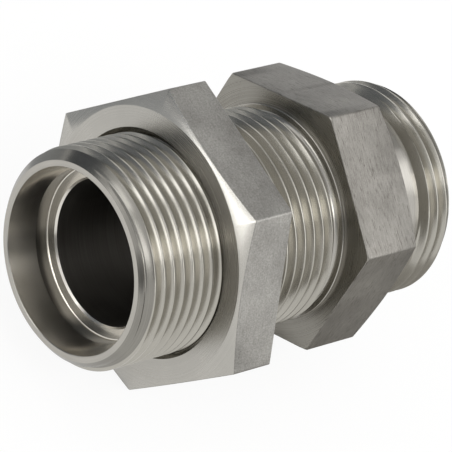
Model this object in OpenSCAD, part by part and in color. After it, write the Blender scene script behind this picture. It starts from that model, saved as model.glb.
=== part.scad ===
// Straight bulkhead coupling for 28 mm tube, with its hexagonal locknut.
// The coupling body is one turned piece along X. The origin is the centre of the
// hexagon's clamping face: the long bulkhead stud runs to -X, the short stud to +X.
// The tube sets the bore, the seats and the thread, and the thread sets both hexagons.

/* [Tube seats] */
// Outside diameter of the tube that the coupling takes
tube_d = 28; // [20:0.5:42]
// Wall of that tube, which sets the flow bore
tube_wall = 2; // [1:0.1:4]
// Clearance of the socket round the tube
tube_clearance = 0.1; // [0.05:0.05:0.2]
// How much the cone opens on each side, from the socket to its mouth
cone_flare = 1.05; // [0.8:0.05:1.5]
// Half angle of the cone
cone_half_angle = 12; // [8:1:20]
// Length of the straight socket between the cone and the stop
socket_len = 2.36; // [1:0.01:6]
// Edge break where the bore meets the stop
bore_edge = 0.3; // [0.1:0.1:0.8]

/* [Studs] */
// Length of the bulkhead stud, from the clamping face to its end
bulkhead_len = 42.8; // [34:0.2:80]
// Length of the short stud, from the back of the hexagon to its end
short_len = 13.6; // [12:0.1:30]
// Width of the 45 degree bevel that leads into each thread
lead_bevel = 1.8; // [0.8:0.1:2.2]

/* [Thread] */
// From the tube's outside to the thread's crests
stud_wall = 4; // [3.6:0.1:6]
// Pitch of the thread
pitch = 2; // [1:0.25:3]
// From the clamping face to the last crest of the bulkhead thread
bulkhead_runout = 2.9; // [2.5:0.1:6]
// From the back of the hexagon to the last crest of the short thread
short_runout = 7.2; // [4:0.1:10]
// Depth of the undercut behind each thread
undercut_depth = 1.5; // [1.2:0.1:2]
// Radius of the fillet on the hexagon's side of each undercut
undercut_fillet = 0.8; // [0.4:0.1:1.2]
// Width of the collar left between the undercut and the clamping face
collar_w = 0.6; // [0.4:0.1:1.5]

/* [Fixed hexagon] */
// From the thread's crests to the flats, for a 41 mm spanner with its tolerance
hex_wall = 2.35; // [2:0.05:5]
// Thickness of the hexagon
hex_t = 11.9; // [8:0.1:20]
// How far the small bevel of the clamping face reaches in from each corner
clamp_bevel = 0.4; // [0.2:0.1:2]
// Angle of that bevel to the face
clamp_bevel_angle = 30; // [15:1:45]
// How far the wide bevel of the back face reaches in from each corner
back_bevel = 3.1; // [1:0.1:4]
// Angle of that bevel to the face
back_bevel_angle = 20; // [10:1:30]
// Turn of the hexagon about X, from a corner pointing down
hex_turn = -3.3; // [-30:0.1:30]

/* [Locknut] */
// From the thread's crests to the flats, for a 46 mm spanner with its tolerance
nut_wall = 4.95; // [4:0.05:9]
// Height of the locknut
nut_h = 8.8; // [6:0.1:16]
// How far the bevel of the turned face reaches in from each corner
nut_corner_bevel = 4.2; // [1:0.1:4.5]
// Angle of that bevel to the face
nut_bevel_angle = 15; // [10:1:30]
// Countersink that opens the thread at each face, wider than the thread on each side
countersink = 0.7; // [0.3:0.1:1.5]
// Running clearance of the locknut over the thread crests
nut_clearance = 0.1; // [0.05:0.05:0.3]
// Distance from the clamping face to the locknut where it rests
nut_gap = 18.6; // [1:0.2:25]
// Turn of the locknut about X, from a corner pointing down
nut_turn = 30; // [-30:0.1:30]

/* [Hidden] */
$fn = 120;
// Every cutter runs this far past the face that it opens
over = 1;

socket_r = tube_d / 2 + tube_clearance;
mouth_r = socket_r + cone_flare;
cone_depth = cone_flare / tan(cone_half_angle);
stop_depth = cone_depth + socket_len;
bore_r = tube_d / 2 - tube_wall;

// Metric thread form: flanks at 60 degrees, crest flat an eighth of the pitch
thread_r = tube_d / 2 + stud_wall;
flank_angle = 30;
crest_flat = pitch / 8;
thread_depth = 0.6134 * pitch;
groove_w = pitch - crest_flat;
root_w = groove_w - 2 * thread_depth * tan(flank_angle);
undercut_r = thread_r - undercut_depth;
undercut_rise = undercut_depth * tan(flank_angle);
fillet_steps = 6;

hex_af = 2 * (thread_r + hex_wall);
nut_af = 2 * (thread_r + nut_wall);
nut_bore_r = thread_r + nut_clearance;
nut_x = -nut_gap - nut_h;

function corner_r(across_flats) = across_flats / sqrt(3);

// Turns a half section, drawn as radius and height, into a solid that runs along +X
module turned() {
    rotate([0, 90, 0]) rotate_extrude() children();
}

module hexagon(across_flats, height, turn) {
    rotate([turn, 0, 0])
        rotate([0, 90, 0])
            linear_extrude(height) circle(r = corner_r(across_flats), $fn = 6);
}

// One thread groove in section, centred on height z
module thread_groove(z) {
    mouth = groove_w / 2 + over * tan(flank_angle);
    polygon([
        [thread_r + over, z - mouth],
        [thread_r - thread_depth, z - root_w / 2],
        [thread_r - thread_depth, z + root_w / 2],
        [thread_r + over, z + mouth]
    ]);
}

// Half section of a stud from the hexagon at height 0 to its bevelled end: a collar,
// an undercut with a fillet beside the collar, and then thread crests up to the end,
// where the last groove runs out
module stud_section(length, runout, collar) {
    crest_edge = runout - crest_flat / 2;
    difference() {
        polygon([
            [0, -over],
            [thread_r, -over],
            [thread_r, length - lead_bevel],
            [thread_r - lead_bevel, length],
            [0, length]
        ]);
        for (z = [runout + pitch / 2 : pitch : length]) thread_groove(z);
        polygon([
            [thread_r + over, collar],
            for (a = [0 : 90 / fillet_steps : 90]) [
                undercut_r + undercut_fillet * (1 - sin(a)),
                collar + undercut_fillet * (1 - cos(a))
            ],
            [undercut_r, crest_edge - undercut_rise],
            [thread_r, crest_edge],
            [thread_r + over, crest_edge]
        ]);
    }
}

// Half section of the seat cut into an end face at height 0: the cone, the socket that
// holds the tube, the stop, and an edge break into the bore
module seat_section() {
    polygon([
        [0, -over],
        [mouth_r + over * tan(cone_half_angle), -over],
        [socket_r, cone_depth],
        [socket_r, stop_depth],
        [bore_r + bore_edge, stop_depth],
        [bore_r, stop_depth + bore_edge],
        [0, stop_depth + bore_edge]
    ]);
}

// A disc whose face at height 0 is bevelled in from the corners of a hexagon
module bevelled_face(bevel, bevel_angle, across_flats, height) {
    face_r = corner_r(across_flats) - bevel;
    reach = bevel + over;
    polygon([
        [0, 0],
        [face_r, 0],
        [face_r + reach, reach * tan(bevel_angle)],
        [face_r + reach, height + over],
        [0, height + over]
    ]);
}

// The fixed hexagon, with its clamping face at X 0 and its back at the other end
module fixed_hexagon() {
    intersection() {
        hexagon(hex_af, hex_t, hex_turn);
        turned() bevelled_face(clamp_bevel, clamp_bevel_angle, hex_af, hex_t);
        translate([hex_t, 0, 0]) mirror([1, 0, 0])
            turned() bevelled_face(back_bevel, back_bevel_angle, hex_af, hex_t);
    }
}

module coupling_body() {
    color([0.72, 0.71, 0.69])
    difference() {
        union() {
            mirror([1, 0, 0]) turned() stud_section(bulkhead_len, bulkhead_runout, collar_w);
            fixed_hexagon();
            translate([hex_t, 0, 0]) turned() stud_section(short_len, short_runout, 0);
        }
        translate([-bulkhead_len, 0, 0]) turned() seat_section();
        translate([hex_t + short_len, 0, 0]) mirror([1, 0, 0]) turned() seat_section();
        translate([-bulkhead_len, 0, 0]) rotate([0, 90, 0])
            cylinder(r = bore_r, h = bulkhead_len + hex_t + short_len);
    }
}

// Half section of the locknut's threaded hole, countersunk at both faces
module nut_bore_section() {
    polygon([
        [0, -over],
        [nut_bore_r + countersink + over, -over],
        [nut_bore_r, countersink],
        [nut_bore_r, nut_h - countersink],
        [nut_bore_r + countersink + over, nut_h + over],
        [0, nut_h + over]
    ]);
}

module locknut() {
    color([0.66, 0.65, 0.62])
    translate([nut_x, 0, 0])
    difference() {
        intersection() {
            hexagon(nut_af, nut_h, nut_turn);
            turned() bevelled_face(nut_corner_bevel, nut_bevel_angle, nut_af, nut_h);
        }
        turned() nut_bore_section();
    }
}

coupling_body();
locknut();
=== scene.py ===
# %% [markdown]
# A stainless steel bulkhead coupling. It joins two tubes through the wall of a tank or a
# machine: the long stud goes through a hole in the wall, the fixed hexagon stops it on
# one side and the locknut clamps it on the other. This lesson dresses the plain solids
# of the imported model. It cuts real helical threads with Geometry Nodes, gives the
# hexagons their bevels and broken edges, and makes each surface look as its tool left
# it: turned, bored, drilled, faced or milled. The colours of the studs' bevels, the tube
# seats and the faces also carry painted light and shade.

# %% Load the imported model
import math

import bmesh
import bpy
from mathutils import Matrix, Vector


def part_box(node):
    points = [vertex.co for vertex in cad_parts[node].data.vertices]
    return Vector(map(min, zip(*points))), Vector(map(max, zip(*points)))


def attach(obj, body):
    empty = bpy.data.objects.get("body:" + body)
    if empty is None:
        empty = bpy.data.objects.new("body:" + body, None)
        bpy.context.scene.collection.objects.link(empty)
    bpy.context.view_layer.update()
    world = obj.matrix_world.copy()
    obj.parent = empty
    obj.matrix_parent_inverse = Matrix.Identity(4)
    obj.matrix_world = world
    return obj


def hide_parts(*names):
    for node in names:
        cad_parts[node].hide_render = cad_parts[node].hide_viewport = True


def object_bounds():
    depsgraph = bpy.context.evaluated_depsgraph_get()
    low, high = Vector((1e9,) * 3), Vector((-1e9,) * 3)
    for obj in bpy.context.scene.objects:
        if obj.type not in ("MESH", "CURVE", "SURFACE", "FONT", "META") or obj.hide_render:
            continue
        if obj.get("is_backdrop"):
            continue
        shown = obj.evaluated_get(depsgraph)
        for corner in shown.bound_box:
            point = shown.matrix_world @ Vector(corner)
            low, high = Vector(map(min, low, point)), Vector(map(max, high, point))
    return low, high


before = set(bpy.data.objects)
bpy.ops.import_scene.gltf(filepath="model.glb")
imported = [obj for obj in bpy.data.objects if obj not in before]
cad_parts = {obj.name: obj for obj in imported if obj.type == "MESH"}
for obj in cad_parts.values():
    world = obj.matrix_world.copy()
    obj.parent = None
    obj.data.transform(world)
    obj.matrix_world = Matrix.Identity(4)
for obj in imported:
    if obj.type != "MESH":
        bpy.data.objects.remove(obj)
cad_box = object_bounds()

MM = 0.001
print("the plain model is", [round((high - low) / MM, 2) for low, high in zip(*cad_box)], "mm")

# %% [markdown]
# Sizes are in millimetres, measured from the clamping face of the fixed hexagon, which is
# at x = 0. They could all be written down here, but the outer ones are read from the
# frame, so that the dressed pieces stay on their solids. The thread is a metric fine
# thread, 36 mm across with a pitch of 2 mm. Its form follows from the pitch: flanks at
# 60 degrees to each other, and a crest that is flat for an eighth of the pitch.

# %% Sizes of the studs and their thread
body_low, body_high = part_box("coupling_body")
BULKHEAD_END = body_low.x / MM
SHORT_END = body_high.x / MM

PITCH = 2.0
CREST_R = 18.0
THREAD_DEPTH = 0.6134 * PITCH
ROOT_R = CREST_R - THREAD_DEPTH
CREST_FLAT = PITCH / 8
FLANK_ANGLE = math.radians(30)

# The crest nearest the hexagon stands at this x where the angle round the axis is this
LAST_CREST = -2.9
CREST_ANGLE = math.radians(139)

# Points on each ring and each turn, and the distance within which points are merged
TURN_POINTS = 144
WELD = 0.002

print("the studs run from", round(BULKHEAD_END, 2), "to", round(SHORT_END, 2), "mm")

# %% [markdown]
# Two small helpers serve the whole file. The first turns a colour, picked as a hex
# value, into the linear numbers that Blender works with. The second adds a node, sets
# its options and fills its inputs, each with a number or with a link. Every node could
# be added and linked by hand, but then the wiring would bury what it is for.


# %% Helpers for colours and nodes
def linear(hex_colour):
    """The linear RGBA of an sRGB colour such as #c4bfb6."""
    channels = [int(hex_colour[k:k + 2], 16) / 255 for k in (1, 3, 5)]
    return (*[c / 12.92 if c <= 0.04045 else ((c + 0.055) / 1.055) ** 2.4 for c in channels], 1.0)


def add(tree, kind, inputs=(), **options):
    """Adds a node. An input is a value, a socket, or a node whose first output is meant."""
    made = tree.nodes.new(kind)
    for name, value in options.items():
        setattr(made, name, value)
    for name, value in dict(inputs).items():
        if isinstance(value, bpy.types.Node):
            value = value.outputs[0]
        if isinstance(value, bpy.types.NodeSocket):
            tree.links.new(value, made.inputs[name])
        else:
            made.inputs[name].default_value = value
    return made


# Kinds of node that come up again and again. Math adds unless it is told otherwise, and
# a Mix takes two numbers in its inputs 2 and 3, or two colours in 6 and 7
MATH = "ShaderNodeMath"
MIX = "ShaderNodeMix"
NOISE = "ShaderNodeTexNoise"
print("a mid grey, #808080, is", round(linear("#808080")[0], 3), "in linear light")

# %% [markdown]
# The part is austenitic stainless steel, as machined: a slightly warm grey. What tells
# one surface from another is how the tool left it, and on the bevels, the seats and the
# faces also painted light and shade in the colour. A lathe leaves rings round the axis,
# and a mill leaves short streaks. A picture could hold such marks, but it would need
# unwrapping and would blur close up, so they are a noise instead. Its places are
# counted in tool marks, which makes it short across them and long along them. The place
# round the axis is written as a cosine and a sine, so that the pattern has no seam.

# %% Places counted in tool marks
# How much a step in radius counts beside a step along the axis. Both count, so that
# rings show on faces and cylinders alike. It isn't 1, or a bevel of 45 degrees, where
# both change alike, would show none
RADIUS_WEIGHT = 1.37


def mark_places(tree, x, y, z, mark, length, along):
    """The place counted in marks of that width and length in mm.

    Across the marks is along the turned profile, or only along the axis.
    """
    y_squared = add(tree, MATH, {0: y, 1: y}, operation="MULTIPLY")
    z_squared = add(tree, MATH, {0: z, 1: z}, operation="MULTIPLY")
    radius = add(tree, MATH, {0: add(tree, MATH, {0: y_squared, 1: z_squared})}, operation="SQRT")
    across = x
    if along == "profile":
        across = add(tree, MATH, {0: radius, 1: RADIUS_WEIGHT, 2: x}, operation="MULTIPLY_ADD")
    counted = {0: add(tree, MATH, {0: across, 1: 1 / (mark * MM)}, operation="MULTIPLY")}
    for axis, side in ((1, y), (2, z)):
        direction = add(tree, MATH, {0: side, 1: radius}, operation="DIVIDE")
        counted[axis] = add(tree, MATH, {0: direction, 1: CREST_R / length}, operation="MULTIPLY")
    return add(tree, "ShaderNodeCombineXYZ", counted)


print("marks have their stated length", CREST_R, "mm from the axis")

# %% [markdown]
# Three noises make the pattern. The marks, mixed with grain where a surface has some,
# are its height. Height and broad soft clouds together are its tone, because handling
# and coolant leave steel uneven over several millimetres. The tears are the marks once
# more, rougher, of which only the strongest will show.

# %% The pattern of a steel surface
CLOUD = 7
TEAR_SCALE = 1.1
# How much of the tone the height makes, beside the clouds
HEIGHT_SHARE = 0.6


def steel_pattern(tree, place, lines, grain, grain_size):
    """Height, tone and tears. grain is its share of the height, and grain_size is in mm."""
    marks = add(tree, NOISE, {"Vector": lines, "Scale": 1.0, "Detail": 3.0, "Roughness": 0.6})
    grains = add(tree, NOISE, {
        "Vector": place, "Scale": 1 / (grain_size * MM), "Detail": 2.0, "Roughness": 0.6})
    height = add(tree, MIX, {0: grain, 2: marks, 3: grains}, data_type="FLOAT")
    clouds = add(tree, NOISE, {"Vector": place, "Scale": 1 / (CLOUD * MM), "Detail": 2.0})
    tone = add(tree, MIX, {0: HEIGHT_SHARE, 2: clouds, 3: height}, data_type="FLOAT")
    tears = add(tree, NOISE, {
        "Vector": lines, "Scale": TEAR_SCALE, "Detail": 4.0, "Roughness": 0.7})
    return height, tone, tears


print("clouds are", CLOUD, "mm wide")

# %% [markdown]
# One function makes every finish from that pattern. The tone picks the colour and the
# roughness between two limits, and the height gives the bump. Fine grooves stretch what
# they mirror at right angles to themselves, which is why a turned part shows long
# bright bands and not round spots. The shader does that with Anisotropic: its tangent
# runs round the axis, with the grooves, and a quarter turn lays the stretch across them.

# %% Stainless steel, by the way it was machined
# The tones between which colour and roughness go from their first value to their second
COLOUR_TONES = (0.3, 0.7)
ROUGHNESS_TONES = (0.25, 0.75)
# Grey-brown scale that stays in the deepest tears, and where in their noise it starts
# and is full
SCALE_COLOUR = "#4c463f"
SCALE_START, SCALE_FULL = 0.55, 0.67
QUARTER_TURN = 0.25


def stainless(name, colours, roughness, mark, length, depth,
              along="profile", spread=0.7, grain=0.0, grain_size=0.2, pits=0.0):
    """Steel with marks of that width, length and depth in mm. pits is how much scale tears hold."""
    material = bpy.data.materials.new(name)
    material.use_nodes = True
    tree = material.node_tree
    tree.nodes.clear()
    place = add(tree, "ShaderNodeTexCoord").outputs["Object"]
    x, y, z = add(tree, "ShaderNodeSeparateXYZ", {0: place}).outputs
    lines = mark_places(tree, x, y, z, mark, length, along)
    height, tone, tears = steel_pattern(tree, place, lines, grain, grain_size)

    paleness = add(tree, "ShaderNodeMapRange", {
        0: tone, 1: COLOUR_TONES[0], 2: COLOUR_TONES[1]})
    clean = add(tree, MIX, {
        0: paleness, 6: linear(colours[0]), 7: linear(colours[1])}, data_type="RGBA")
    scale = add(tree, "ShaderNodeMapRange", {0: tears, 1: SCALE_START, 2: SCALE_FULL, 4: pits})
    colour = add(tree, MIX, {
        0: scale, 6: clean.outputs[2], 7: linear(SCALE_COLOUR)}, data_type="RGBA")
    rough = add(tree, "ShaderNodeMapRange", {
        0: tone, 1: ROUGHNESS_TONES[0], 2: ROUGHNESS_TONES[1],
        3: roughness[0], 4: roughness[1]})
    bump = add(tree, "ShaderNodeBump", {"Height": height, "Strength": 1.0, "Distance": depth * MM})
    round_axis = add(tree, "ShaderNodeCombineXYZ", {
        1: add(tree, MATH, {0: z, 1: -1.0}, operation="MULTIPLY"), 2: y})
    tangent = add(tree, "ShaderNodeVectorTransform", {0: round_axis},
                  vector_type="VECTOR", convert_from="OBJECT", convert_to="WORLD")
    steel = add(tree, "ShaderNodeBsdfPrincipled", {
        "Base Color": colour.outputs[2], "Roughness": rough, "Normal": bump, "Metallic": 1.0,
        "Tangent": tangent, "Anisotropic": spread, "Anisotropic Rotation": QUARTER_TURN})
    add(tree, "ShaderNodeOutputMaterial", {0: steel})
    return material


print("the stretch is turned by", 360 * QUARTER_TURN, "degrees from the grooves")

# %% [markdown]
# The studs have three finishes. Polished steel could be one smooth material, but a
# machined stud shows which tool cut what, and the bevels' darker colour is painted
# shade. The feed marks of such a lathe are 0.05 to 0.1 mm apart, less than one picture
# element here, so they are drawn 0.12 to 0.2 mm apart in every finish, which shows as
# fine rings.

# %% Finishes of the studs
# Turned: pale satin grey with soft-edged bright bands, on the end rings and undercuts
turned = stainless("turned_stainless_steel", ("#a6a39d", "#b6b3ac"), (0.21, 0.26),
                   mark=0.12, length=40, depth=0.0015, spread=0.6)
# Cut with a threading tool: a little shinier, so each crest carries a thin bright line
threads = stainless("thread_cut_stainless_steel", ("#a5a29a", "#b5b2aa"), (0.19, 0.25),
                    mark=0.15, length=30, depth=0.0015, spread=0.5)
# Bevelled with a plunging tool: duller, and painted darker as shade, so the thread's
# start stands apart
bevelled = stainless("bevelled_stainless_steel", ("#817e79", "#929089"), (0.22, 0.27),
                     mark=0.15, length=30, depth=0.002)
print("stud finishes:", [material.name for material in (turned, threads, bevelled)])

# %% [markdown]
# A screw thread is one groove wound round the stud in a helix. The Screw modifier could
# wind it, but it can't follow the bevel where the thread starts or the slope where it
# runs out into the undercut. A Geometry Nodes tree can, because it works out the radius
# of every point from where the point is. These are its inputs.

# %% The inputs of the thread tree
THREAD_INPUTS = [
    ("Section", "NodeSocketGeometry"), ("Start", "NodeSocketFloat"), ("End", "NodeSocketFloat"),
    ("Blank Radius at Start", "NodeSocketFloat"), ("Blank Radius at End", "NodeSocketFloat"),
    ("Crest Radius", "NodeSocketFloat"), ("Root Radius", "NodeSocketFloat"),
    ("Pitch", "NodeSocketFloat"), ("Crest Place", "NodeSocketFloat"),
    ("Crest Angle", "NodeSocketFloat"), ("First Angle", "NodeSocketFloat"),
    ("Points a Turn", "NodeSocketInt"), ("Inside", "NodeSocketBool"),
    ("Finish", "NodeSocketMaterial"),
]
thread_tree = bpy.data.node_groups.new("helical_thread_band", "GeometryNodeTree")
for socket_name, socket_kind in THREAD_INPUTS:
    thread_tree.interface.new_socket(socket_name, in_out="INPUT", socket_type=socket_kind)
thread_tree.interface.new_socket("Band", in_out="OUTPUT", socket_type="NodeSocketGeometry")
print("thread tree:", len(THREAD_INPUTS), "inputs")

# %% [markdown]
# The band starts as a flat grid, with one row of points for each step round the stud and
# one point in the row for each point of the thread's section. The index of a point tells
# which step it belongs to, and so its angle, and which point of the section it is. Three
# turns more than the band's length are wound, and what lies past either end is pressed
# onto the end, so that both ends are full flat rings.

# %% Wind the section round the stud
TURNS_TO_SPARE = 3.0
TURNS_BEFORE_START = 2.0


def first_crest(tree, given):
    """Where the winding's first crest is, two turns before the band, in phase with the real one."""
    start, pitch = given["Start"], given["Pitch"]
    lag = add(tree, MATH, {0: given["First Angle"], 1: given["Crest Angle"]}, operation="SUBTRACT")
    lag_turns = add(tree, MATH, {0: lag, 1: math.tau}, operation="DIVIDE")
    crest_here = add(tree, MATH, {0: lag_turns, 1: pitch, 2: given["Crest Place"]},
                     operation="MULTIPLY_ADD")
    from_start = add(tree, MATH, {0: crest_here, 1: start}, operation="SUBTRACT")
    phase = add(tree, MATH, {0: from_start, 1: pitch}, operation="FLOORED_MODULO")
    return add(tree, MATH, {
        0: pitch, 1: -TURNS_BEFORE_START, 2: add(tree, MATH, {0: phase, 1: start})},
        operation="MULTIPLY_ADD")


def wind(tree, given):
    """The band's grid, and each point's angle, its x, and the x of its crest."""
    start, pitch, turn_points = given["Start"], given["Pitch"], given["Points a Turn"]
    section_size = add(tree, "GeometryNodeAttributeDomainSize", {0: given["Section"]})
    length = add(tree, MATH, {0: given["End"], 1: start}, operation="SUBTRACT")
    turns = add(tree, MATH, {
        0: add(tree, MATH, {0: length, 1: pitch}, operation="DIVIDE"), 1: TURNS_TO_SPARE})
    steps = add(tree, MATH, {0: turns, 1: turn_points}, operation="MULTIPLY")
    grid = add(tree, "GeometryNodeMeshGrid", {
        "Vertices X": add(tree, MATH, {0: add(tree, MATH, {0: steps}, operation="CEIL"), 1: 1.0}),
        "Vertices Y": section_size})

    index = add(tree, "GeometryNodeInputIndex")
    step = add(tree, "FunctionNodeIntegerMath", {0: index, 1: section_size},
               operation="DIVIDE_FLOOR")
    point = add(tree, "FunctionNodeIntegerMath", {0: index, 1: section_size}, operation="MODULO")
    offset = add(tree, "ShaderNodeSeparateXYZ", {0: add(tree, "GeometryNodeSampleIndex", {
        0: given["Section"], 1: add(tree, "GeometryNodeInputPosition"), "Index": point},
        data_type="FLOAT_VECTOR")})
    turn = add(tree, MATH, {0: step, 1: turn_points}, operation="DIVIDE")
    angle = add(tree, MATH, {0: turn, 1: math.tau, 2: given["First Angle"]},
                operation="MULTIPLY_ADD")
    crest = add(tree, MATH, {0: turn, 1: pitch, 2: first_crest(tree, given)},
                operation="MULTIPLY_ADD")
    x = add(tree, "ShaderNodeClamp", {
        0: add(tree, MATH, {0: crest, 1: offset}), 1: start, 2: given["End"]})
    return grid, angle, x, crest


print("turns wound before and past a band:", TURNS_BEFORE_START,
      TURNS_TO_SPARE - TURNS_BEFORE_START)

# %% [markdown]
# The radius of a point falls from the crest down the flank to the root, by its distance
# from the nearest crest. Both corners are rounded, as a real tool's are: the crest a
# little, the root more. Then the thread is cut into its blank, a cone between two
# radii. Outside, a point takes the smaller of the two radii, and inside a nut the
# larger. So one tree makes the parallel thread, the bevel and the run-out.

# %% Cut the thread into its blank
CREST_ROUND = 0.08
ROOT_ROUND = 0.3
# Half of the crest's flat, as a share of the pitch
HALF_CREST_FLAT = CREST_FLAT / 2 / PITCH


def cut(tree, given, x, crest):
    """The radius of each point, from its x and the x of its crest."""
    half_pitch = add(tree, MATH, {0: given["Pitch"], 1: 0.5}, operation="MULTIPLY")
    away = add(tree, MATH, {
        0: add(tree, MATH, {0: x, 1: crest}, operation="SUBTRACT"), 1: half_pitch},
        operation="PINGPONG")
    down_flank = add(tree, MATH, {0: given["Pitch"], 1: -HALF_CREST_FLAT, 2: away},
                     operation="MULTIPLY_ADD")
    flank = add(tree, MATH, {
        0: down_flank, 1: -1 / math.tan(FLANK_ANGLE), 2: given["Crest Radius"]},
        operation="MULTIPLY_ADD")
    crested = add(tree, MATH, {0: flank, 1: given["Crest Radius"], 2: CREST_ROUND * MM},
                  operation="SMOOTH_MIN")
    thread = add(tree, MATH, {0: crested, 1: given["Root Radius"], 2: ROOT_ROUND * MM},
                 operation="SMOOTH_MAX")
    blank = add(tree, "ShaderNodeMapRange", {
        0: x, 1: given["Start"], 2: given["End"],
        3: given["Blank Radius at Start"], 4: given["Blank Radius at End"]})
    return add(tree, "GeometryNodeSwitch", {
        0: given["Inside"],
        1: add(tree, MATH, {0: thread, 1: blank}, operation="MINIMUM"),
        2: add(tree, MATH, {0: thread, 1: blank}, operation="MAXIMUM")}, input_type="FLOAT")


print("thread depth:", round(THREAD_DEPTH, 3), "mm")

# %% [markdown]
# The tree's last nodes put every point at its angle and radius, merge the points that
# fall together, and give the band its finish. Realize Instances is there because an
# export drops instances, should a later version of the tree make any.

# %% Put the tree together
def finish_tree(tree):
    """Fills the thread tree with its nodes."""
    given = add(tree, "NodeGroupInput").outputs
    grid, angle, x, crest = wind(tree, given)
    radius = cut(tree, given, x, crest)
    y, z = (add(tree, MATH, {0: radius, 1: add(tree, MATH, {0: angle}, operation=wave)},
                operation="MULTIPLY") for wave in ("COSINE", "SINE"))
    place = add(tree, "ShaderNodeCombineXYZ", {0: x, 1: y, 2: z})
    wound = add(tree, "GeometryNodeSetPosition", {0: grid, "Position": place})
    closed = add(tree, "GeometryNodeMergeByDistance", {0: wound, "Distance": WELD * MM})
    plain = add(tree, "GeometryNodeRealizeInstances", {0: closed})
    painted = add(tree, "GeometryNodeSetMaterial", {0: plain, "Material": given["Finish"]})
    add(tree, "NodeGroupOutput", {0: painted})


finish_tree(thread_tree)
print("thread tree:", len(thread_tree.nodes), "nodes")

# %% [markdown]
# The section has seventeen points over one pitch, from root to root. They could be
# spaced evenly, but they sit closest together at the crest and at the root, where the
# thread is rounded, and far apart on the straight flanks, which saves thousands of
# faces. Each band is evaluated and taken over as a plain mesh.

# %% A band of thread
# Distances from the crest to the root, where 1 is half a pitch
HALF_SECTION = [0.0, 0.08, 0.125, 0.17, 0.45, 0.70, 0.80, 0.90, 1.0]
section_places = [-s for s in reversed(HALF_SECTION[1:])] + HALF_SECTION
section = bpy.data.meshes.new("thread_section")
section.from_pydata([(s * PITCH / 2 * MM, 0, 0) for s in section_places],
                    [(k, k + 1) for k in range(len(section_places) - 1)], [])


def thread_band(start, end, blank_radii, first_angle,
                finish=threads, radii=(CREST_R, ROOT_R), inside=False):
    """The thread between start and end, in mm, with its crest and root radii, as a plain mesh."""
    carrier = bpy.data.objects.new("thread_band", section)
    bpy.context.scene.collection.objects.link(carrier)
    modifier = carrier.modifiers.new("thread", "NODES")
    modifier.node_group = thread_tree
    values = {
        "Start": start * MM, "End": end * MM,
        "Blank Radius at Start": blank_radii[0] * MM, "Blank Radius at End": blank_radii[1] * MM,
        "Crest Radius": radii[0] * MM, "Root Radius": radii[1] * MM, "Pitch": PITCH * MM,
        "Crest Place": LAST_CREST * MM, "Crest Angle": CREST_ANGLE, "First Angle": first_angle,
        "Points a Turn": TURN_POINTS, "Inside": inside, "Finish": finish}
    for item in thread_tree.interface.items_tree:
        if item.name in values:
            modifier[item.identifier] = values[item.name]
    bpy.context.view_layer.update()
    evaluated = carrier.evaluated_get(bpy.context.evaluated_depsgraph_get())
    mesh = bpy.data.meshes.new_from_object(evaluated)
    bpy.data.objects.remove(carrier)
    return mesh


print("thread section:", len(section.vertices), "points")

# %% [markdown]
# Each stud has three bands in a row: the bevel that leads a nut on, the full thread, and
# the slope of the last groove, which ends in the undercut. The bands start at the angle
# of the hexagon's first corner, so that all rings of the body fall on the same angles.

# %% Cut the threads of both studs
HEX_T = 11.9
HEX_TURN = math.radians(26.7)
LEAD_BEVEL = 1.8
BEVEL_R = CREST_R - LEAD_BEVEL
UNDERCUT_DEPTH = 1.5
UNDERCUT_R = CREST_R - UNDERCUT_DEPTH
RUNOUT_RISE = UNDERCUT_DEPTH * math.tan(FLANK_ANGLE)
# From the hexagon's back to the middle of the short stud's first crest
SHORT_RUNOUT = 7.2
LAST_CREST_EDGE = LAST_CREST + CREST_FLAT / 2
FIRST_CREST_EDGE = HEX_T + SHORT_RUNOUT - CREST_FLAT / 2

body_bands = [
    thread_band(BULKHEAD_END, BULKHEAD_END + LEAD_BEVEL, (BEVEL_R, CREST_R), HEX_TURN, bevelled),
    thread_band(BULKHEAD_END + LEAD_BEVEL, LAST_CREST_EDGE, (CREST_R, CREST_R), HEX_TURN),
    thread_band(LAST_CREST_EDGE, LAST_CREST_EDGE + RUNOUT_RISE, (CREST_R, UNDERCUT_R), HEX_TURN),
    thread_band(FIRST_CREST_EDGE - RUNOUT_RISE, FIRST_CREST_EDGE, (UNDERCUT_R, CREST_R), HEX_TURN),
    thread_band(FIRST_CREST_EDGE, SHORT_END - LEAD_BEVEL, (CREST_R, CREST_R), HEX_TURN),
    thread_band(SHORT_END - LEAD_BEVEL, SHORT_END, (CREST_R, BEVEL_R), HEX_TURN, bevelled),
]
print("faces in the studs' bands:", [len(mesh.polygons) for mesh in body_bands])

# %% [markdown]
# Everything else on the coupling is turned, so it is a row of rings: a ring is a circle
# of points, and a shell is the faces from each ring to the next. The Screw modifier
# could turn the profiles too, but here each ring has to match the thread bands point for
# point, so that they close into one skin.


# %% Rings and shells
def place_round(x, radius, angle):
    """A point at x and a radius from the axis, in mm, at an angle from +Y towards +Z."""
    return Vector((x, radius * math.cos(angle), radius * math.sin(angle))) * MM


def ring(x, radius, first_angle):
    """A circle of points that matches the thread bands point for point."""
    angles = [first_angle + math.tau * k / TURN_POINTS for k in range(TURN_POINTS)]
    return [place_round(x, radius, angle) for angle in angles]


def shell(name, rings, finish):
    """The faces between each ring and the next."""
    mesh = bpy.data.meshes.new(name)
    corners = [tuple(point) for points in rings for point in points]
    faces = []
    for row in range(len(rings) - 1):
        for k in range(TURN_POINTS):
            beside = (k + 1) % TURN_POINTS
            near, far = row * TURN_POINTS, (row + 1) * TURN_POINTS
            faces.append((near + k, near + beside, far + beside, far + k))
    mesh.from_pydata(corners, [], faces)
    mesh.materials.append(finish)
    return mesh


def turned_shell(name, profile, first_angle, finish):
    """A shell turned from a profile of (x, radius) points in mm."""
    return shell(name, [ring(x, radius, first_angle) for x, radius in profile], finish)


print("a ring round the crests has a point every",
      round(math.tau * CREST_R / TURN_POINTS, 2), "mm")

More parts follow.
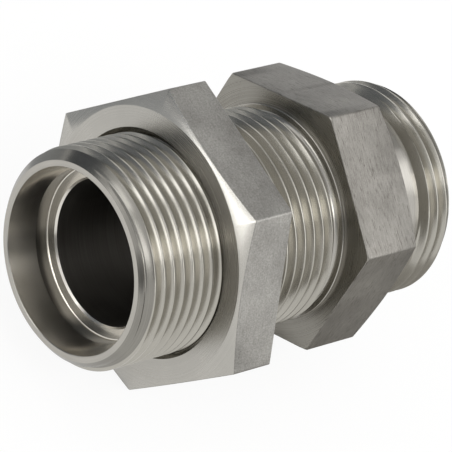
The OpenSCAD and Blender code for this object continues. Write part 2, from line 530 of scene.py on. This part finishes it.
# %% [markdown]
# Inside each end is the seat for a compression ring: a cone of 12 degrees to the axis, a
# short straight socket for the tube, and a stop that the tube butts on, before the
# narrower flow bore. One profile serves both ends. Its mouth has a broken edge and its
# inner corner a small fillet, because a cutting tool's tip is never quite sharp.

# %% Profile of a tube seat
CONE_MOUTH_R = 15.15
SOCKET_R = 14.1
SOCKET_LENGTH = 2.36
CONE_DEPTH = (CONE_MOUTH_R - SOCKET_R) / math.tan(math.radians(12))
STOP_DEPTH = CONE_DEPTH + SOCKET_LENGTH
BORE_R = 12.0
BORE_EDGE = 0.3
EDGE = 0.1
FILLET = 0.2
# How far the middle of a rounded corner stands from either side, where 1 is its radius
ROUND_MIDDLE = 0.3


def seat_profile(end_x, inwards):
    """From the bevel's small end over the flat end ring and down the seat to the flow bore."""
    middle = ROUND_MIDDLE * FILLET
    return [
        (end_x, BEVEL_R),
        (end_x, CONE_MOUTH_R + EDGE),
        (end_x + inwards * EDGE, CONE_MOUTH_R),
        (end_x + inwards * CONE_DEPTH, SOCKET_R),
        (end_x + inwards * (STOP_DEPTH - FILLET), SOCKET_R),
        (end_x + inwards * (STOP_DEPTH - middle), SOCKET_R - middle),
        (end_x + inwards * STOP_DEPTH, SOCKET_R - FILLET),
        (end_x + inwards * STOP_DEPTH, BORE_R + BORE_EDGE),
        (end_x + inwards * (STOP_DEPTH + BORE_EDGE), BORE_R),
    ]


bulkhead_seat = seat_profile(BULKHEAD_END, 1)
short_seat = seat_profile(SHORT_END, -1)
print("the stop is", round(STOP_DEPTH, 2), "mm deep")

# %% [markdown]
# The seats' surfaces were made by different tools, and it shows in their rings and
# roughness. The cone has to seal, so it is the smoothest surface of the part, and its
# colour, with the stop's, is painted brightest as painted light. The socket only guides
# the tube, and its colour is darker as painted shade of the cone. The long flow bore is
# left as the drill made it, and its colour is darkest, as painted shade deep inside the
# part.

# %% Turn the seats and the flow bore
# Fine-turned: sharp thin rings and the lowest roughness, as a sealing surface has, in a
# pale colour that is painted light
fine_turned = stainless("fine_turned_stainless_steel", ("#cdc9c1", "#dad6ce"), (0.16, 0.21),
                        mark=0.15, length=40, depth=0.002)
# Bored: the same rings, in a satin grey painted darker as the shade of the cone
bored = stainless("bored_stainless_steel", ("#7b7872", "#8f8c85"), (0.20, 0.26),
                  mark=0.15, length=40, depth=0.002)
# Drilled: dull, with deeper and coarser rings, in a dark colour that is painted shade
# deep in the bore
drilled = stainless("drilled_stainless_steel", ("#5c5954", "#6e6b66"), (0.34, 0.46),
                    mark=0.2, length=20, depth=0.006)

seat_shells = [
    turned_shell("bulkhead_end_ring", bulkhead_seat[:3], HEX_TURN, turned),
    turned_shell("bulkhead_cone", bulkhead_seat[2:4], HEX_TURN, fine_turned),
    turned_shell("bulkhead_socket", bulkhead_seat[3:5], HEX_TURN, bored),
    turned_shell("bulkhead_stop", bulkhead_seat[4:], HEX_TURN, fine_turned),
    turned_shell("flow_bore", [bulkhead_seat[-1], short_seat[-1]], HEX_TURN, drilled),
    turned_shell("short_cone", short_seat[2:4], HEX_TURN, fine_turned),
    turned_shell("short_socket", short_seat[3:5], HEX_TURN, bored),
    turned_shell("short_stop", short_seat[4:], HEX_TURN, fine_turned),
    turned_shell("short_end_ring", short_seat[:3], HEX_TURN, turned),
]
print("seat shells:", [mesh.name for mesh in seat_shells])

# %% [markdown]
# Behind each thread an undercut lets the threading tool run out. It ends in a fillet
# against the hexagon's side. On the bulkhead side a narrow collar stands between the
# undercut and the clamping face, and the face starts a hair outside the collar, so that
# their rings don't fall together.

# %% Turn the undercut and the neck
COLLAR = 0.6
FACE_START_R = CREST_R + 0.02
UNDERCUT_FILLET = 0.8

fillet = []
for degrees in range(0, 91, 15):
    bend = math.radians(degrees)
    fillet.append((UNDERCUT_FILLET * (1 - math.cos(bend)),
                   UNDERCUT_R + UNDERCUT_FILLET * (1 - math.sin(bend))))
undercut = [
    (LAST_CREST_EDGE + RUNOUT_RISE, UNDERCUT_R),
    *[(-COLLAR - x, radius) for x, radius in reversed(fillet)],
    (-COLLAR, CREST_R - EDGE), (EDGE - COLLAR, CREST_R),
    (-EDGE, CREST_R), (0, FACE_START_R),
]
neck = [(HEX_T + x, radius) for x, radius in fillet]
neck.append((FIRST_CREST_EDGE - RUNOUT_RISE, UNDERCUT_R))
stud_shells = [
    turned_shell("undercut", undercut, HEX_TURN, turned),
    turned_shell("neck", neck, HEX_TURN, turned),
]
print("undercut:", len(undercut), "rings, neck:", len(neck), "rings")

# %% [markdown]
# A hexagon is made of rings too, so that it joins the turned shells. Its rings follow
# the six flats instead of a circle, and their points crowd at each corner, where the
# bar has a small rounding that catches the light. A Bevel modifier could round it, but
# it would break the match between the rings.

# %% The outline of a hexagon
HALF_SIDE = math.radians(30)
CORNER_ROUND = 0.3
# Points on each half of a rounded corner
CORNER_STEPS = 2


def hexagon_outline(flat_r, first_angle):
    """The angle and radius of every point round a hexagon, from its first corner on."""
    side_points = TURN_POINTS // 6
    corner_turn = CORNER_ROUND * math.tan(HALF_SIDE) / (flat_r / math.cos(HALF_SIDE))
    outline = []
    for k in range(TURN_POINTS):
        step = (k + side_points // 2) % side_points - side_points // 2
        corner = first_angle + math.tau * (k - step) / TURN_POINTS
        near = min(abs(step), CORNER_STEPS) * corner_turn
        far = (max(abs(step) - CORNER_STEPS, 0) / (side_points / 2 - CORNER_STEPS)
               * (HALF_SIDE - CORNER_STEPS * corner_turn))
        radius = flat_r / math.cos(HALF_SIDE - near - far)
        if step == 0:
            radius -= CORNER_ROUND * (1 / math.cos(HALF_SIDE) - 1)
        outline.append((corner + math.copysign(near + far, step), radius))
    return outline


print("each corner is rounded over", 2 * CORNER_STEPS + 1, "points")

# %% [markdown]
# The bevel of a hexagonal part is turned: a cone that takes off the corners and leaves
# the middle of each flat alone, which draws the arcs that every nut has. So each point
# of the outline is set back by how far it stands outside the flat part of the face. A
# broken edge, a tenth of a millimetre wide, runs round both faces.

# %% The rings over a hexagon
def hexagon_rings(faces, outline, edge):
    """Rings from one face to the other. Each face is (x, radius of its flat part, bevel angle)."""
    rings = []
    for (face_x, face_r, bevel), inwards in zip(faces, (1, -1)):
        side = [[] for _ in range(4)]
        for angle, radius in outline:
            edge_x = face_x + inwards * max(0, radius - face_r) * math.tan(bevel)
            bevel_x = face_x + inwards * max(0, radius - edge - face_r) * math.tan(bevel)
            profile = [
                (face_x, min(face_r, radius - edge)),
                (bevel_x, radius - edge),
                (edge_x + inwards * ROUND_MIDDLE * edge, radius - ROUND_MIDDLE * edge),
                (edge_x + inwards * edge, radius)]
            for points, (x, point_r) in zip(side, profile):
                points.append(place_round(x, point_r, angle))
        rings += side[::inwards]
    return rings


print("the middle of a broken edge stands", ROUND_MIDDLE, "of its width from either side")

# %% [markdown]
# The fixed hexagon is left of the drawn bar that the body was turned from, so its flats
# are the bar's own, and its two faces were cut in the lathe. It clamps the panel with
# the nearly sharp face and has the wide bevel at its back.

# %% The fixed hexagon
HEX_FLAT_R = 20.35
HEX_EDGE = 0.12
CLAMP_FACE = (0.0, 23.1, math.radians(30))
BACK_FACE = (HEX_T, 20.4, math.radians(20))

# Drawn and milled bar: dull grey with short streaks round the bar, 1.5 mm long, a fine
# grain and brown-grey tears. Its real grain is about 0.05 mm and is drawn at 0.2 mm
bar_flats = stainless("milled_bar_stainless_steel", ("#67645f", "#a6a39d"), (0.38, 0.52),
                      mark=0.18, length=1.5, depth=0.024, along="axis",
                      spread=0.4, grain=0.4, pits=0.85)
# Faced: rings round the axis on a flat face, in a mid grey painted darker as the shade
# between the hexagon and the nut
faced = stainless("faced_bar_stainless_steel", ("#87847d", "#a09d96"), (0.24, 0.32),
                  mark=0.14, length=40, depth=0.002)

hexagon = hexagon_rings((CLAMP_FACE, BACK_FACE), hexagon_outline(HEX_FLAT_R, HEX_TURN), HEX_EDGE)
hexagon_shells = [
    shell("clamping_face", [ring(*undercut[-1], HEX_TURN)] + hexagon[:2], faced),
    shell("hexagon_flats", hexagon[1:7], bar_flats),
    shell("hexagon_back", hexagon[6:] + [ring(*neck[0], HEX_TURN)], faced),
]
print("hexagon:", len(hexagon), "rings,", round(2 * HEX_FLAT_R, 1), "mm across its flats")

# %% [markdown]
# Where two shells meet, their rings fall on the same points, so merging the doubles
# closes the piece. They could stay separate shells, but then light would leak and the
# piece would have no inside. The normals are turned outwards only after the merge. The
# skin is shaded smooth, and an edge stays sharp where the surface really turns: by more
# than 50 degrees, or by more than 8 on a ring of a turned profile.

# %% Close a skin from its shells
SHARP_TURN = math.radians(50)
RING_TURN = math.radians(8)


def close_skin(meshes):
    """One closed skin from all the shells, and the finishes that its faces point to."""
    finishes = []
    skin = bmesh.new()
    for mesh in meshes:
        first_face = len(skin.faces)
        skin.from_mesh(mesh)
        skin.faces.ensure_lookup_table()
        finish = mesh.materials[mesh.polygons[0].material_index]
        if finish not in finishes:
            finishes.append(finish)
        for face in skin.faces[first_face:]:
            face.material_index = finishes.index(finish)
        bpy.data.meshes.remove(mesh)
    bmesh.ops.remove_doubles(skin, verts=skin.verts, dist=WELD * MM)
    bmesh.ops.dissolve_degenerate(skin, edges=skin.edges, dist=WELD * MM / 4)
    bmesh.ops.recalc_face_normals(skin, faces=skin.faces)
    return skin, finishes


def shade(skin):
    """Smooth faces, and sharp edges where the surface turns."""
    for face in skin.faces:
        face.smooth = True
    for edge in skin.edges:
        turn = edge.calc_face_angle(0)
        on_a_ring = abs(edge.verts[0].co.x - edge.verts[1].co.x) < WELD * MM / 4
        edge.smooth = not (turn > SHARP_TURN or (turn > RING_TURN and on_a_ring))


print("edges stay sharp above", round(math.degrees(SHARP_TURN)), "degrees, and those of a ring",
      "above", round(math.degrees(RING_TURN)))

# %% [markdown]
# The finished piece takes the place of its plain solid, moves with the same body, and
# names the material slot that its finish belongs to.

# %% Weld shells into a piece
def weld(name, meshes, body, node):
    """One closed piece from all its shells, which stands for a node of the model."""
    skin, finishes = close_skin(meshes)
    shade(skin)
    open_edges = sum(not edge.is_manifold for edge in skin.edges)
    mesh = bpy.data.meshes.new(name)
    skin.to_mesh(mesh)
    skin.free()
    for finish in finishes:
        mesh.materials.append(finish)
    piece = bpy.data.objects.new(name, mesh)
    bpy.context.scene.collection.objects.link(piece)
    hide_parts(node)
    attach(piece, body)
    triangles = sum(len(face.vertices) - 2 for face in mesh.polygons)
    print(name, "has", triangles, "triangles and", open_edges, "open edges")


weld("coupling_body_machined", body_bands + seat_shells + stud_shells + hexagon_shells,
     "coupling", "coupling_body")

# %% [markdown]
# The locknut has the same thread on the inside, and a countersink at each face that
# leads the stud in. Its thread could be left out, since little of it shows, but a nut
# with a smooth hole looks wrong as soon as it is slid off. The same tree cuts it with
# the Inside switch on, so nut and stud mesh as they really do, with a tenth of a
# millimetre between them.

# %% Cut the locknut's thread
nut_low, nut_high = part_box("locknut")
NUT_FRONT = nut_low.x / MM
NUT_BACK = nut_high.x / MM
NUT_TURN = 0.0
NUT_CLEARANCE = 0.1
NUT_GROOVE_R = CREST_R + NUT_CLEARANCE
NUT_CREST_R = 16.92
COUNTERSINK_R = NUT_GROOVE_R + 0.7
COUNTERSINK = COUNTERSINK_R - NUT_CREST_R
# The tree's crest and root are the stud's: the nut's groove lies over the stud's crest,
# and its own crest over the stud's root
NUT_THREAD = {"radii": (NUT_GROOVE_R, NUT_CREST_R), "inside": True}

nut_bands = [
    thread_band(NUT_FRONT, NUT_FRONT + COUNTERSINK, (COUNTERSINK_R, NUT_CREST_R), NUT_TURN,
                **NUT_THREAD),
    thread_band(NUT_FRONT + COUNTERSINK, NUT_BACK - COUNTERSINK, (NUT_CREST_R, NUT_CREST_R),
                NUT_TURN, **NUT_THREAD),
    thread_band(NUT_BACK - COUNTERSINK, NUT_BACK, (NUT_CREST_R, COUNTERSINK_R), NUT_TURN,
                **NUT_THREAD),
]
print("faces in the nut's bands:", [len(mesh.polygons) for mesh in nut_bands])

# %% [markdown]
# The nut's front was faced in the lathe together with a wide shallow bevel that takes
# its corners off. Its back is flat to sharp corners, because it only presses on the
# panel. The flats have an even matt grain, without the streaks of the fixed hexagon.

# %% The locknut
NUT_FLAT_R = nut_high.z / MM
NUT_CORNER_R = NUT_FLAT_R / math.cos(HALF_SIDE)
NUT_EDGE = 0.10
NUT_BEVEL = 4.2
NUT_FACE = (NUT_FRONT, NUT_CORNER_R - NUT_BEVEL, math.radians(15))
NUT_BACK_FACE = (NUT_BACK, NUT_CORNER_R, 0.0)

# Faced: finer than the fixed hexagon's faces, and paler, a painted light that makes it
# glow softly
nut_faced = stainless("faced_nut_stainless_steel", ("#acaaa4", "#bab7b1"), (0.24, 0.29),
                      mark=0.12, length=60, depth=0.0015)
# Milled and pickled: an even matt grain that mirrors alike in all directions. The real
# grain is about 0.05 mm and is drawn at 0.26 mm
nut_flats = stainless("milled_nut_stainless_steel", ("#767470", "#b3b1ac"), (0.38, 0.52),
                      mark=0.20, length=1.2, depth=0.032, along="axis",
                      spread=0.0, grain=0.8, grain_size=0.26, pits=0.3)

nut = hexagon_rings((NUT_FACE, NUT_BACK_FACE), hexagon_outline(NUT_FLAT_R, NUT_TURN), NUT_EDGE)
nut_shells = [
    shell("nut_face", [ring(NUT_FRONT, COUNTERSINK_R, NUT_TURN)] + nut[:2], nut_faced),
    shell("nut_flats", nut[1:7], nut_flats),
    shell("nut_back", nut[6:] + [ring(NUT_BACK, COUNTERSINK_R, NUT_TURN)], nut_faced),
]
weld("locknut_machined", nut_bands + nut_shells, "locknut", "locknut")

# %% [markdown]
# The camera stands where the photographer's stood: a long lens, some 640 mm away, that
# looks down on the bulkhead end and is rolled over to one side. It could be aimed by
# eye. Here its angles, distance and lens were worked out from the places of the
# thread's crests and the corners of both hexagons, so that every edge falls where it
# should.

# %% Camera
AZIMUTH = math.radians(-61.58)
ELEVATION = math.radians(42.06)
ROLL = math.radians(36.85)
DISTANCE, TO_THE_LEFT, DOWN = 641.6, 6.98, 2.356

back = Vector((math.sin(AZIMUTH) * math.cos(ELEVATION),
               -math.cos(AZIMUTH) * math.cos(ELEVATION), math.sin(ELEVATION)))
level_right = Vector((math.cos(AZIMUTH), math.sin(AZIMUTH), 0))
level_up = back.cross(level_right)
right = level_right * math.cos(ROLL) + level_up * math.sin(ROLL)
up = back.cross(right)

camera_data = bpy.data.cameras.new("camera")
camera_data.sensor_width = 36
camera_data.lens = 312.8
camera_data.clip_start = 0.05
camera_data.clip_end = 20
camera = bpy.data.objects.new("camera", camera_data)
bpy.context.scene.collection.objects.link(camera)
viewpoint = (back * DISTANCE - right * TO_THE_LEFT - up * DOWN) * MM
turned_to = Matrix((right, up, back)).transposed().to_4x4()
camera.matrix_world = Matrix.Translation(viewpoint) @ turned_to
bpy.context.scene.camera = camera
print("camera at", [round(c, 4) for c in viewpoint])

# %% [markdown]
# The floor and the room are white, as in a catalogue picture. Strong light could bleach
# them, but it would bleach the steel too. So their materials ask Light Path what kind of
# ray has come: one from the camera, or one that has passed through glass, meets plain
# white, and one that the steel mirrors meets mostly white. The rest of the floor is
# real paper, which keeps the object's shadow.

# %% Floor and room
PAPER, WHITE = linear("#f4f4f2"), linear("#ffffff")
FLOOR_SEEN, FLOOR_MIRRORED = 0.9, 0.65
ROOM_SEEN, ROOM_MIRRORED = 1.0, 1.0
ROOM_LIGHT = 0.9


def white_share(tree, seen, mirrored):
    """How much plain white is seen by the camera or through glass, or mirrored by the steel."""
    rays = add(tree, "ShaderNodeLightPath").outputs
    clear = add(tree, MATH, {0: rays["Is Camera Ray"], 1: rays["Is Transmission Ray"]},
                operation="MAXIMUM")
    direct = add(tree, MATH, {0: clear, 1: seen}, operation="MULTIPLY")
    off_steel = add(tree, MATH, {0: rays["Is Glossy Ray"], 1: mirrored}, operation="MULTIPLY")
    return add(tree, MATH, {0: direct, 1: off_steel}, operation="MAXIMUM")


# Seamless paper: an even matt white without any gloss
paper_floor = bpy.data.materials.new("white_paper")
paper_floor.use_nodes = True
floor_tree = paper_floor.node_tree
floor_tree.nodes.clear()
add(floor_tree, "ShaderNodeOutputMaterial", {0: add(floor_tree, "ShaderNodeMixShader", {
    0: white_share(floor_tree, FLOOR_SEEN, FLOOR_MIRRORED),
    1: add(floor_tree, "ShaderNodeBsdfDiffuse", {"Color": PAPER}),
    2: add(floor_tree, "ShaderNodeEmission", {"Color": WHITE, "Strength": 1.0})})})
bpy.ops.mesh.primitive_plane_add(size=6, location=(0, 0, cad_box[0].z))
floor = bpy.context.object
floor.name = "floor"
floor.data.materials.append(paper_floor)
floor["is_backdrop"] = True

world = bpy.data.worlds.new("studio")
bpy.context.scene.world = world
world.use_nodes = True
room_tree = world.node_tree
room_tree.nodes.clear()
add(room_tree, "ShaderNodeOutputWorld", {0: add(room_tree, "ShaderNodeMixShader", {
    0: white_share(room_tree, ROOM_SEEN, ROOM_MIRRORED),
    1: add(room_tree, "ShaderNodeBackground", {"Color": WHITE, "Strength": ROOM_LIGHT}),
    2: add(room_tree, "ShaderNodeBackground", {"Color": WHITE, "Strength": 1.0})})})
bpy.context.scene.view_settings.view_transform = "Standard"
print("floor at", round(floor.location.z / MM, 2), "mm")

# %% [markdown]
# Steel is a mirror with a soft focus, so its look is the look of what stands round it.
# Spot lamps would leave hard white dots on every crest. Large soft boxes give the broad
# bright bands instead. A lamp's glow is how bright it looks in the steel, where 1 is as
# white as the room, and its watts follow from its glow and its area.

# %% Lamps
def softbox(name, place, width, height, glow):
    """A rectangular lamp at a place in metres that faces the object."""
    data = bpy.data.lights.new(name, "AREA")
    data.shape = "RECTANGLE"
    data.size = width
    data.size_y = height
    data.energy = glow * math.pi * width * height
    lamp = bpy.data.objects.new(name, data)
    bpy.context.scene.collection.objects.link(lamp)
    lamp.location = place
    lamp.rotation_mode = "QUATERNION"
    lamp.rotation_quaternion = Vector(place).to_track_quat("Z", "Y")


SOFTBOXES = [
    # The main light, high in front: the broad bands on the threads
    ("key_softbox", (0, -0.72, 0.96), 0.75, 0.45, 3.2),
    # Both on the bulkhead end's side: the nut's bevel, and the faces that look that way
    ("left_softbox", (-1.02, 0.42, 0.46), 0.5, 0.5, 1.8),
    ("end_softbox", (-1.15, -0.12, 0.17), 0.45, 0.28, 2.6),
    # Small and low before that end: the bright corner of the nut's bevel
    ("low_softbox", (-0.22, 0.03, 0.0), 0.14, 0.04, 3.6),
    # Fill from the front, and from the short stud's side
    ("front_softbox", (0.46, -0.98, 0.52), 0.5, 0.5, 1.4),
    ("right_softbox", (0.72, -0.36, 0.75), 0.5, 0.5, 1.0),
]
for lamp_settings in SOFTBOXES:
    softbox(*lamp_settings)
print("soft boxes:", len(SOFTBOXES))

# %% [markdown]
# In a white room polished metal looks like paper, so a photographer stands grey cards
# round it, and their reflections give it its darker tones. The steel could be painted
# darker instead, but then its bright bands would fade as well. Two of the cards lie on
# the floor as a painted shadow: the nut's bevel and the lower flats mirror them where
# the object's shadow on the floor would darken the steel. Only the steel shows the
# cards: the camera doesn't see them, and they shade nothing.

# %% Grey cards
def card(name, place, width, height, colour, facing=None):
    """A card at a place in metres that faces the object, or the way that facing says."""
    # Matt painted card: one even grey from every side
    paint = bpy.data.materials.new("matt_paint_on_" + name)
    paint.use_nodes = True
    paint.node_tree.nodes.clear()
    add(paint.node_tree, "ShaderNodeOutputMaterial", {
        0: add(paint.node_tree, "ShaderNodeBsdfDiffuse", {"Color": linear(colour)})})
    mesh = bpy.data.meshes.new(name)
    across, high = width / 2, height / 2
    corners = [(-across, -high, 0), (across, -high, 0), (across, high, 0), (-across, high, 0)]
    mesh.from_pydata(corners, [], [(0, 1, 2, 3)])
    mesh.materials.append(paint)
    board = bpy.data.objects.new(name, mesh)
    bpy.context.scene.collection.objects.link(board)
    board.location = place
    board.rotation_mode = "QUATERNION"
    board.rotation_quaternion = Vector(facing or place).to_track_quat("Z", "Y")
    board.visible_camera = False
    board.visible_shadow = False
    board.visible_diffuse = False
    board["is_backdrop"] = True


# A little above the floor, and face up
ON_TABLE = -0.0228
FACE_UP = (0, 0, 1)
CARDS = [
    # Behind, blue-grey: the darkest band along the tops of the studs and the bevels
    ("back_card", (-0.11, 0.45, 0.11), 1.3, 0.27, "#6c7076"),
    # Overhead, round the camera and on the far side: the mid tones of flats and threads
    ("top_card", (-0.25, -0.05, 1.0), 1.7, 0.45, "#8a8a8a"),
    ("camera_card", (-0.75, -0.68, 0.40), 0.6, 0.55, "#787878"),
    ("far_card", (0.78, 0.42, 0.80), 0.7, 0.6, "#a0a0a0"),
    # On the floor, a painted shadow: the nut's bevel mirrors the one behind, the lower flats
    # the one in front, as the object's shadow on the floor would darken them
    ("back_table_card", (-0.14, 0.15, ON_TABLE), 0.22, 0.2, "#a9acaf", FACE_UP),
    ("front_table_card", (0.05, -0.06, ON_TABLE), 0.12, 0.10, "#b6b4b0", FACE_UP),
]
for card_settings in CARDS:
    card(*card_settings)
print("grey cards:", len(CARDS))

# %% [markdown]
# Last, the dressed model's box is measured against the plain one's, and how far it
# stands outside it on each axis is printed. Nothing may stand outside the plain model's
# box.

# %% Measure and finish
dressed_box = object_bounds()
below = [(plain - dressed) / MM for plain, dressed in zip(cad_box[0], dressed_box[0])]
above = [(dressed - plain) / MM for plain, dressed in zip(cad_box[1], dressed_box[1])]
print("outside the box by", [round(max(sides), 3) for sides in zip(below, above)], "mm")
